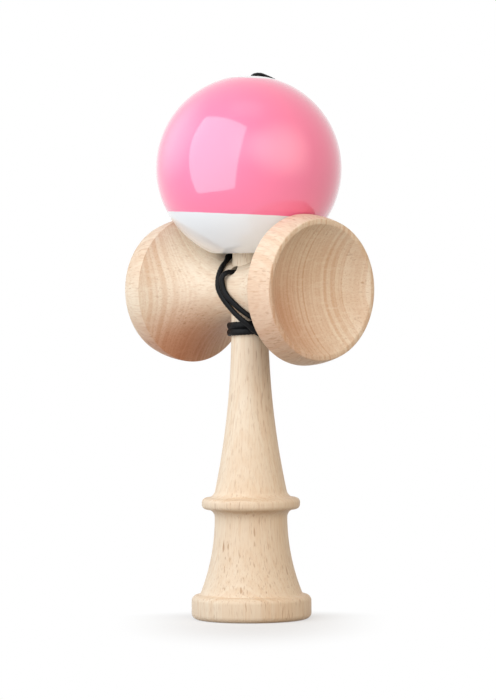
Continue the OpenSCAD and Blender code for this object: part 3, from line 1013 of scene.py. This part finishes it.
@dataclass
class StringLine:
    """The string, from the bead over the ball's back, round neck and waist, and into the ken."""

    finish: Braid
    # The route is laid out in millimetres.
    ball_z: float = BALL_Z
    ball_r: float = BALL_R
    ball_top: float = BALL_Z + BALL_R
    bead_z: float = BEAD_Z
    bead_foot: float = 159.972
    cross_z: float = CROSS_Z
    waist_r: float = WAIST_R
    waist_half: float = WAIST_HALF
    flares: Pair = (27.777, 30.773)
    neck_r: float = NECK_R
    neck_turns: int = 2
    shaft_curve: float = SHAFT_CURVE
    seat_z: float = SEAT_LOW
    lay: float = 1.1
    turn_pitch: float = 2.1
    bore_z: float = BORE_Z
    knot_face_y: float = 2
    bead_knot_drop: float = 1.5
    ken_knot_y: float = 3.1
    # The yarn is in metres, as the pieces are.
    diameter: float = 1.6 * MM
    spacing: float = 0.19 * MM
    half_width: float = 1.1 * MM
    half_thick: float = 0.64 * MM
    sink: float = 0.35 * MM
    knot_size: float = 0.44 * MM
    knot_spacing: float = 0.2 * MM
    piece: Optional[bpy.types.Object] = None
    line: Optional[np.ndarray] = None
    knots: List[bpy.types.Object] = field(default_factory=list)

    def flare_r(self, x: float) -> float:
        """Give the cross piece's radius at a place along its axis."""
        curve = self.flares[0] if x > 0 else self.flares[1]
        return self.waist_r + curve - math.sqrt(curve ** 2 - max(abs(x) - self.waist_half, 0) ** 2)

    def over_ball(self) -> List[Point]:
        """Give the route from the bead up through the ball and down its back.

        Returns:
            Its points in millimetres.
        """
        top = self.ball_top
        route = [(0, 0, self.bead_foot + 0.3), (0, 0, self.bead_z), (0, 0, self.bead_z + 3)]
        route += [(0, 0, top - 5.6), (0, 0, top - 3.4), (0, 0.7, top - 1.15)]
        route += [(0, 2.5, top + 0.4), (0, 4.9, top + 0.7)]
        out = self.ball_r + self.lay
        for a in (14, 21, 30, 40, 50, 60, 70, 80, 90, 100, 110, 118):
            turn = math.radians(a)
            route.append((-a / 50, out * math.sin(turn), self.ball_z + out * math.cos(turn)))
        route += [(-3, 22, 121.5), (-3.8, 18.4, 115.2), (-4.4, 15.2, 109.6), (-4.8, 13.2, 106)]
        return route + [(-5.2, 11.3, 102.6), (-5, 9.7, 99.5), (-3.6, 8.2, 97.1)]

    def round_neck(self) -> List[Point]:
        """Give the route of the turns round the neck and the way out over them.

        Returns:
            Its points in millimetres.
        """
        first = self.cross_z - self.flare_r(self.neck_r + self.lay) - self.lay
        route = []
        whole = 360 * self.neck_turns
        for a in range(0, whole + 1, 30):
            z = first - self.turn_pitch * (a - 90) / 360
            drop = self.seat_z - z
            shaft = self.neck_r + self.shaft_curve - math.sqrt(self.shaft_curve ** 2 - drop ** 2)
            r, turn = shaft + self.lay, math.radians(a)
            route.append((r * math.sin(turn), r * math.cos(turn), z))
        low = first - self.turn_pitch * (whole - 90) / 360
        for a, out, up in ((30, 0.3, -0.2), (60, 1.2, -0.4), (86, 2, -0.4), (108, 2.3, 0.2),
                           (123, 2.4, 1.5), (134, 2.5, 3), (146, 2.3, 4.6), (161, 2.2, 6.6),
                           (176, 2.4, 8.9)):
            r, turn = self.neck_r + self.lay + out, math.radians(a)
            route.append((r * math.sin(turn), r * math.cos(turn), low + up))
        return route

    def round_waist(self) -> List[Point]:
        """Give the route round the waist and into the ken.

        Returns:
            Its points in millimetres.
        """
        route = []
        for a, x in ((74, -1.8), (92, -3.6), (110, -4.4), (128, -5), (146, -5.8), (163, -6.9),
                     (180, -7.7), (198, -7.4), (216, -6.2), (236, -4.6), (258, -2.6), (280, -0.2),
                     (302, 2.8), (322, 6.2), (341, 8.9), (360, 9.8), (378, 9.2), (395, 7.6),
                     (411, 5), (428, 2.2), (441, 0), (452, -1.3)):
            r, turn = self.flare_r(x) + self.lay, math.radians(a)
            route.append((x, -r * math.sin(turn), self.cross_z - r * math.cos(turn)))
        z = self.bore_z
        route += [(-1.85, -10.65, z - 3), (-1.5, -10.35, z - 1.4), (-0.75, -9.2, z - 0.35)]
        route += [(-0.15, -7.7, z)]
        return route + [(0, y, z) for y in (-6.2, -4.4, -3.2, -1, self.knot_face_y)]

    def outward(self, line: np.ndarray) -> np.ndarray:
        """Give the direction away from what the string lies on, at each point of its line.

        Args:
            line: The line's points in metres.

        Returns:
            One direction to a row.
        """
        far, flaring, rounds = 99, 0.02, 60
        p = line / MM
        ball = p - np.array([0, 0, self.ball_z])
        waist = p - np.array([0, 0, self.cross_z])
        waist[:, 0] = 0
        neck = p * np.array([1, 1, 0])
        ball_gap = np.linalg.norm(ball, axis=1) - self.ball_r
        waist_gap = np.linalg.norm(waist, axis=1) - self.waist_r - flaring * p[:, 0] ** 2
        neck_gap = np.linalg.norm(neck, axis=1) - self.neck_r
        neck_gap[p[:, 2] > self.cross_z] = far
        shadow_floor = np.exp(-np.clip(np.stack([ball_gap, waist_gap, neck_gap]), 0, 40))
        mixed = sum(n[:, None] * unit(v) for n, v in zip(shadow_floor, (ball, waist, neck)))
        mixed = mixed + np.array([1e-4, 2e-4, 0])
        for _ in range(rounds):
            mixed[1:-1] = (mixed[:-2] + 2 * mixed[1:-1] + mixed[2:]) / 4
        return unit(mixed)

    def knot(self, name: str, at: Point, way: Point) -> bpy.types.Object:
        """Tie a tight overhand knot.

        Args:
            name: Name of the piece.
            at: Its middle.
            way: Direction in which the string leaves it.

        Returns:
            The knot.
        """
        t = np.linspace(0, 2 * math.pi, 140)
        loop = np.stack([np.sin(t) + 2 * np.sin(2 * t), np.cos(t) - 2 * np.cos(2 * t),
                         -1.3 * np.sin(3 * t)], axis=1)
        turn = np.array(Vector(way).to_track_quat("Z", "Y").to_matrix())
        line = even_line(loop * self.knot_size @ turn.T + np.array(at), self.knot_spacing)
        yarn = Yarn(half_width=0.72 * MM, half_thick=0.66 * MM, sides=14, relief=0.1 * MM)
        return yarn.tube(name, line, line - np.array(at) + np.array(way) * 1e-5)

    def build(self) -> None:
        """Lay the string along its route and tie its two knots."""
        route = np.array(self.over_ball() + self.round_neck() + self.round_waist(), dtype=float)
        self.line = even_line(smooth_line(route * MM, steps=12), self.spacing)
        yarn = Yarn(self.half_width, self.half_thick, sink=self.sink)
        self.piece = yarn.tube("string_braid", self.line, self.outward(self.line))
        below_bead = (0, 0, (self.bead_foot - self.bead_knot_drop) * MM)
        in_ken = (0, self.ken_knot_y * MM, self.bore_z * MM)
        self.knots = [self.knot("bead_knot_tied", below_bead, (0, 0, 1)),
                      self.knot("ken_knot_tied", in_ken, (0, -1, 0))]

    def dress(self) -> None:
        """Give the string its yarn and set it between the ken and the bead."""
        yarn = self.finish.material()
        for piece in (self.piece, *self.knots):
            piece.data.materials.append(yarn)
            LOG.info("%s: %d faces", piece.name, len(piece.data.polygons))
        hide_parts("string_run", "string_wraps")
        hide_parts("bead_knot")
        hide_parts("ken_knot")
        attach(self.knots[0], "bead")
        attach(self.knots[1], "ken")
        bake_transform(self.piece)


@dataclass(frozen=True)
class SoftBox:
    """A lamp that faces the toy and fades towards its edges.

    Attributes:
        name: Name of the lamp.
        side: Degrees to the right of the camera.
        height: Degrees above the toy's middle.
        painted_shadow_edge: Distance from the toy's middle.
        size: Width and height of the box.
        glow: Brightness of the middle of its face, where 1 is white.
        soft: Share of its width over which each edge fades.
        tint: Colour of its light.
    """

    name: str
    side: float
    height: float
    painted_shadow_edge: float
    size: Pair
    glow: float
    soft: float
    tint: Colour = WHITE


@dataclass
class Studio:
    """Camera, soft boxes, pale floor and white surroundings."""

    azimuth: float = CAMERA_SIDE
    distance: float = 1.3
    camera_z: float = 116 * MM
    aim_z: float = 87 * MM
    aim_side: float = -0.65 * MM
    roll: float = -0.35
    lens: float = 206.8
    sensor: float = 36
    clip: Pair = (0.05, 50)
    middle_z: float = 105 * MM
    floor_r: float = 0.3
    # Reach of the painted floor shadow towards the camera, behind the toy and to either side.
    shadow_front: float = 0.13
    shadow_back: float = 0.04
    shadow_side: float = 0.046
    floor_bounce: Colour = (0.37, 0.32, 0.27)
    floor_tone: Colour = (0.42, 0.42, 0.425)
    floor_glow: float = 0.46
    room_tint: Colour = (1.0, 0.82, 0.64)
    room_level: float = 0.27
    boxes: Tuple[SoftBox, ...] = (
        SoftBox("key_box", side=-46, height=17, painted_shadow_edge=1.0, size=(1.35, 1.95), glow=2.08, soft=0.05,
                tint=(0.94, 1.0, 1.07)),
        SoftBox("left_wall", side=-108, height=24, painted_shadow_edge=1.2, size=(1.8, 1.6), glow=1.0, soft=0.45,
                tint=(0.97, 1.0, 1.03)),
        SoftBox("front_fill", side=4, height=26, painted_shadow_edge=1.6, size=(2.0, 1.7), glow=0.72, soft=0.48),
        SoftBox("top_box", side=-10, height=78, painted_shadow_edge=1.1, size=(0.9, 0.7), glow=0.4, soft=0.4),
        SoftBox("right_wall", side=44, height=22, painted_shadow_edge=1.2, size=(2.4, 1.9), glow=1.65, soft=0.48,
                tint=(1.09, 0.96, 0.82)))

    def camera(self) -> None:
        """Set the camera at the photograph's viewing angle."""
        turn = math.radians(self.azimuth)
        back = Vector((math.sin(turn), -math.cos(turn), 0))
        right = Vector((math.cos(turn), math.sin(turn), 0))
        aim = right * self.aim_side + Vector((0, 0, self.aim_z))
        place = back * self.distance + right * self.aim_side + Vector((0, 0, self.camera_z))
        data = bpy.data.cameras.new("camera")
        data.lens = self.lens
        data.sensor_width = self.sensor
        data.clip_start, data.clip_end = self.clip
        camera = bpy.data.objects.new("camera", data)
        camera.location = place
        look = (aim - place).to_track_quat("-Z", "Y").to_matrix()
        camera.rotation_euler = (look @ Matrix.Rotation(math.radians(self.roll), 3, "Z")).to_euler()
        bpy.context.scene.collection.objects.link(camera)
        bpy.context.scene.camera = camera

    def soft_box(self, box: SoftBox) -> None:
        """Hang a soft box.

        Args:
            box: Its place, size and light.
        """
        turn, up = math.radians(self.azimuth + box.side), math.radians(box.height)
        way = Vector((math.sin(turn) * math.cos(up), -math.cos(turn) * math.cos(up), math.sin(up)))
        data = bpy.data.lights.new(box.name, "AREA")
        data.shape = "RECTANGLE"
        data.size, data.size_y = box.size
        data.color = box.tint
        data.energy = box.glow * math.pi * box.size[0] * box.size[1]
        shade = Shade(data)
        across, along, _ = shade.parts(shade.node("ShaderNodeNewGeometry", output="Parametric"))
        fade = across.step(0.0, box.soft) * (1 - across).step(0.0, box.soft)
        fade = fade * along.step(0.0, box.soft) * (1 - along).step(0.0, box.soft)
        glow = shade.node("ShaderNodeEmission", inputs={"Strength": fade})
        shade.node("ShaderNodeOutputLight", inputs={0: glow})
        lamp = bpy.data.objects.new(box.name, data)
        lamp.location = Vector((0, 0, self.middle_z)) + way * box.painted_shadow_edge
        lamp.rotation_euler = way.to_track_quat("Z", "Y").to_euler()
        bpy.context.scene.collection.objects.link(lamp)

    def floor(self) -> None:
        """Lay the pale floor: a painted shadow ellipse that also keeps the toy's real shadow, white
        further off.
        """
        deselect()
        bpy.ops.mesh.primitive_circle_add(vertices=96, radius=self.floor_r, fill_type="NGON")
        floor = bpy.context.object
        floor.name = "floor"
        shade = Shade.material("floor_white")
        x, y, _ = shade.parts(shade.coordinates())
        turn = math.radians(self.azimuth)
        front = x * math.sin(turn) - y * math.cos(turn)
        left = x * -math.cos(turn) - y * math.sin(turn)
        # Painted shadow: inside this ellipse the floor shows dimmer than white and also catches the
        # real shadow.
        reach = front.step(0.0, self.shadow_front) + (front * -1).step(0.0, self.shadow_back)
        painted_shadow_edge = shade.node("ShaderNodeVectorMath", {"operation": "LENGTH"},
                          {0: shade.vector(reach, left * (1 / self.shadow_side), 0.0)}, "Value")
        matt = shade.node("ShaderNodeBsdfDiffuse", inputs={"Color": self.floor_bounce})
        dim = shade.node("ShaderNodeBsdfDiffuse", inputs={"Color": self.floor_tone})
        glow = shade.node("ShaderNodeEmission",
                          inputs={"Color": WHITE, "Strength": self.floor_glow})
        white = shade.node("ShaderNodeEmission", inputs={"Color": WHITE, "Strength": 1.0})
        shadow_floor = shade.node("ShaderNodeAddShader", inputs={0: dim, 1: glow})
        seen = shade.node("ShaderNodeMixShader", inputs={0: painted_shadow_edge.step(0.1, 1.0), 1: shadow_floor, 2: white})
        both = shade.node("ShaderNodeMixShader", inputs={0: shade.shown(), 1: matt, 2: seen})
        shade.node("ShaderNodeOutputMaterial", inputs={"Surface": both})
        floor.data.materials.append(shade.owner)

    def surroundings(self) -> None:
        """Light the room evenly and show it white."""
        world = bpy.data.worlds.new("room")
        bpy.context.scene.world = world
        shade = Shade(world)
        room = shade.node("ShaderNodeBackground",
                          inputs={"Color": self.room_tint, "Strength": self.room_level})
        white = shade.node("ShaderNodeBackground", inputs={"Color": WHITE, "Strength": 1.0})
        both = shade.node("ShaderNodeMixShader", inputs={0: shade.shown(), 1: room, 2: white})
        shade.node("ShaderNodeOutputWorld", inputs={"Surface": both})

    def build(self) -> None:
        """Set the whole studio."""
        bpy.context.scene.view_settings.view_transform = "Standard"
        self.camera()
        self.floor()
        self.surroundings()
        for box in self.boxes:
            self.soft_box(box)


def main() -> None:
    """Build the studio and the toy's pieces in order."""
    logging.basicConfig(level=logging.INFO, format="%(name)s %(message)s")
    Studio().build()
    yarn = StringLine(Braid("black_braid"))
    lathe = Lathe()
    ken = Ken(lathe, Beech("ken_beech", Fibre.UP, pith=(-44 * MM, 61 * MM), contrast=0.22))
    # Painted warm shade under the small cup and on the shaded side of the big cup's dish.
    shade_under_cup = PaintedShade(at=(-22 * MM, -6 * MM, 84 * MM), reach=30 * MM, share=0.75)
    shade_in_dish = PaintedShade(at=(30 * MM, -13 * MM, 97 * MM), reach=26 * MM, share=0.36)
    cross = CrossPiece(lathe, Beech("cross_beech", Fibre.ACROSS, pith=(140 * MM, 112 * MM),
                                    contrast=0.32, late=linear(201, 155, 113),
                                    painted_shades=(shade_under_cup, shade_in_dish)))
    ball = Ball(lathe, Lacquer("ball_lacquer", middle=(0, 0, BALL_Z * MM)))
    for part in (yarn, ken, cross, ball):
        part.build()
        part.dress()
    Bead(Beech("bead_beech", Fibre.UP, pith=(3 * MM, 9 * MM), pale=linear(214, 178, 132))).dress()


if __name__ == "__main__":
    main()
